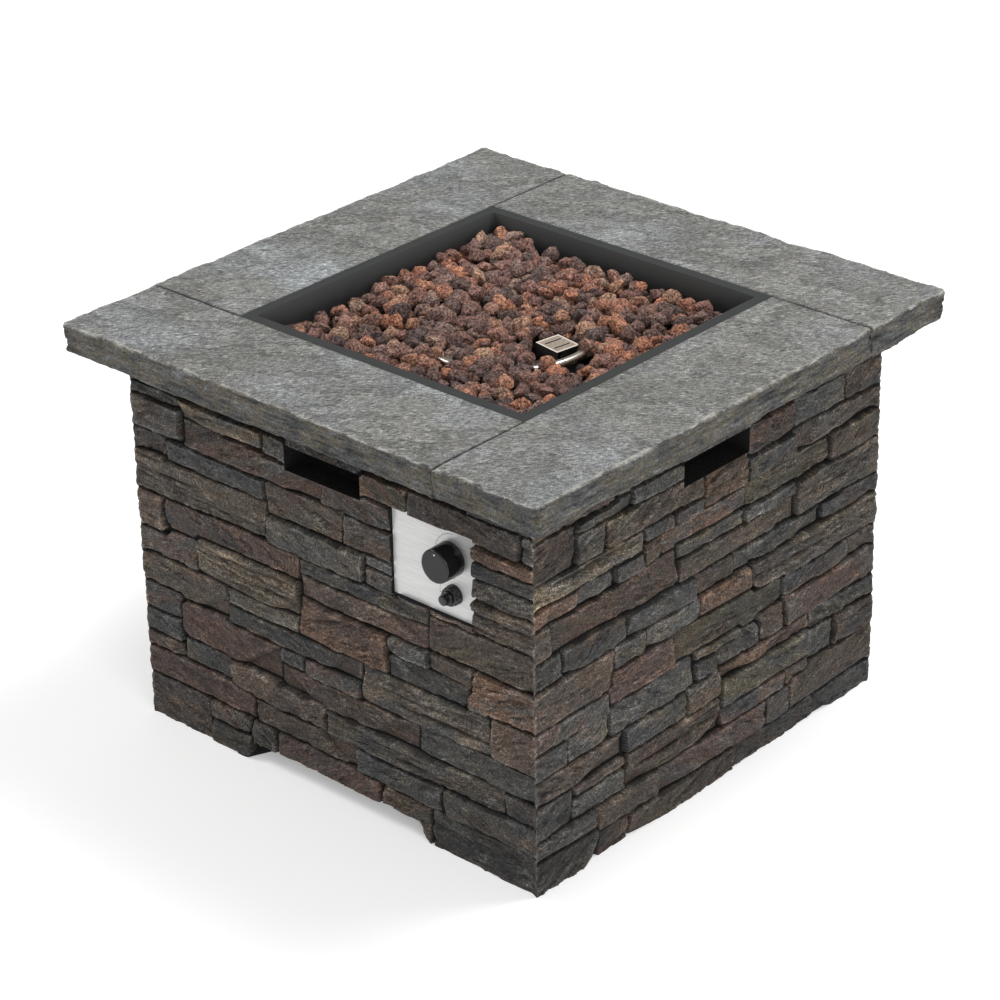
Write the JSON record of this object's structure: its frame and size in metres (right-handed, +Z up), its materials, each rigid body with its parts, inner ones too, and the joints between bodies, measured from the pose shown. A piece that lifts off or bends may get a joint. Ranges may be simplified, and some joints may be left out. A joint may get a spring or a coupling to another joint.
{
  "type": "gas fire pit",
  "caption": "Square gas fire pit with stacked-stone walls, a cast-stone top and a bed of lava stones over a ring burner, worked by a knob and a push igniter.",
  "frame": {"origin": "on the ground under the middle of the body", "axes": "+Z up, the wall with the control panel faces -Y, +X to the right seen from that side"},
  "size_m": [0.813, 0.813, 0.585],
  "materials": {
    "wall_stone": "stacked ledge-stone relief, umber, slate and rust",
    "top_stone": "cleft slate texture, mid grey",
    "zinc_steel": "zinc-plated sheet",
    "screw_steel": "zinc plated",
    "pan_coat": "dark grey powder coat",
    "burner_steel": "stainless, heat tinted",
    "brass": "turned",
    "valve_alloy": "die cast",
    "spring_steel": "bright",
    "tube_alloy": "drawn",
    "probe_copper": "copper capillary",
    "lead_sheath": "silicone sheath",
    "electrode_ceramic": "white ceramic with a metal tip",
    "panel_plate": "bright brushed",
    "knob_black": "satin face, glossy side",
    "igniter_black": "moulded",
    "battery_can": "plain can",
    "lava_stone": "porous lava, red-brown to grey"
  },
  "bodies": {
    "root": {"front_wall": "wall_stone", "right_wall": "wall_stone", "back_wall": "wall_stone", "left_wall": "wall_stone", "top_slab_front": "top_stone", "top_slab_right": "top_stone", "top_slab_back": "top_stone", "top_slab_left": "top_stone", "corner_brackets": "zinc_steel", "bracket_screws": "screw_steel", "slab_cleats": "zinc_steel", "cleat_screws": "screw_steel", "burner_pan": "pan_coat", "ring_burner": "burner_steel", "burner_supports": "zinc_steel", "air_mixer": "burner_steel", "mixer_nut": "burner_steel", "gas_orifice": "brass", "igniter_hood": "burner_steel", "hood_screws": "screw_steel", "spark_electrode": "electrode_ceramic", "thermocouple": "burner_steel", "control_panel": "panel_plate", "control_box": "zinc_steel", "box_screws": "screw_steel", "panel_nuts": "screw_steel", "valve_body": "valve_alloy", "valve_end_cap": "brass", "valve_nut": "brass", "inlet_fitting": "brass", "outlet_nut": "brass", "gas_tube": "tube_alloy", "thermocouple_lead": "probe_copper", "electrode_lead": "lead_sheath", "igniter_body": "igniter_black", "igniter_nut": "igniter_black", "battery": "battery_can", "lava_rocks": "lava_stone"},
    "cock_plug": {"valve_plug": "brass", "spindle_spring": "spring_steel"},
    "knob": {"control_knob": "knob_black", "valve_spindle": "spring_steel"},
    "igniter_cap": {"igniter_cap": "igniter_black", "igniter_spring": "spring_steel"},
    "igniter_button": {"igniter_button": "igniter_black"}
  },
  "joints": [
    {"name": "knob_turn", "type": "hinge", "parent": "root", "child": "cock_plug", "pos_m": [0.2145, -0.303, 0.431], "axis": [0, -1, 0], "range_deg": [0, 180]},
    {"name": "knob_press", "type": "slide", "parent": "cock_plug", "child": "knob", "axis": [0, 1, 0], "range_m": [0, 0.004], "stiffness_N_per_m": 600, "springref_m": -0.004, "deforming": ["spindle_spring"]},
    {"name": "igniter_cap_off", "type": "slide", "parent": "root", "child": "igniter_cap", "axis": [0, -1, 0], "range_m": [0, 0.025]},
    {"name": "igniter_press", "type": "slide", "parent": "igniter_cap", "child": "igniter_button", "axis": [0, 1, 0], "range_m": [0, 0.003], "stiffness_N_per_m": 400, "springref_m": -0.004, "deforming": ["igniter_spring"]}
  ]
}
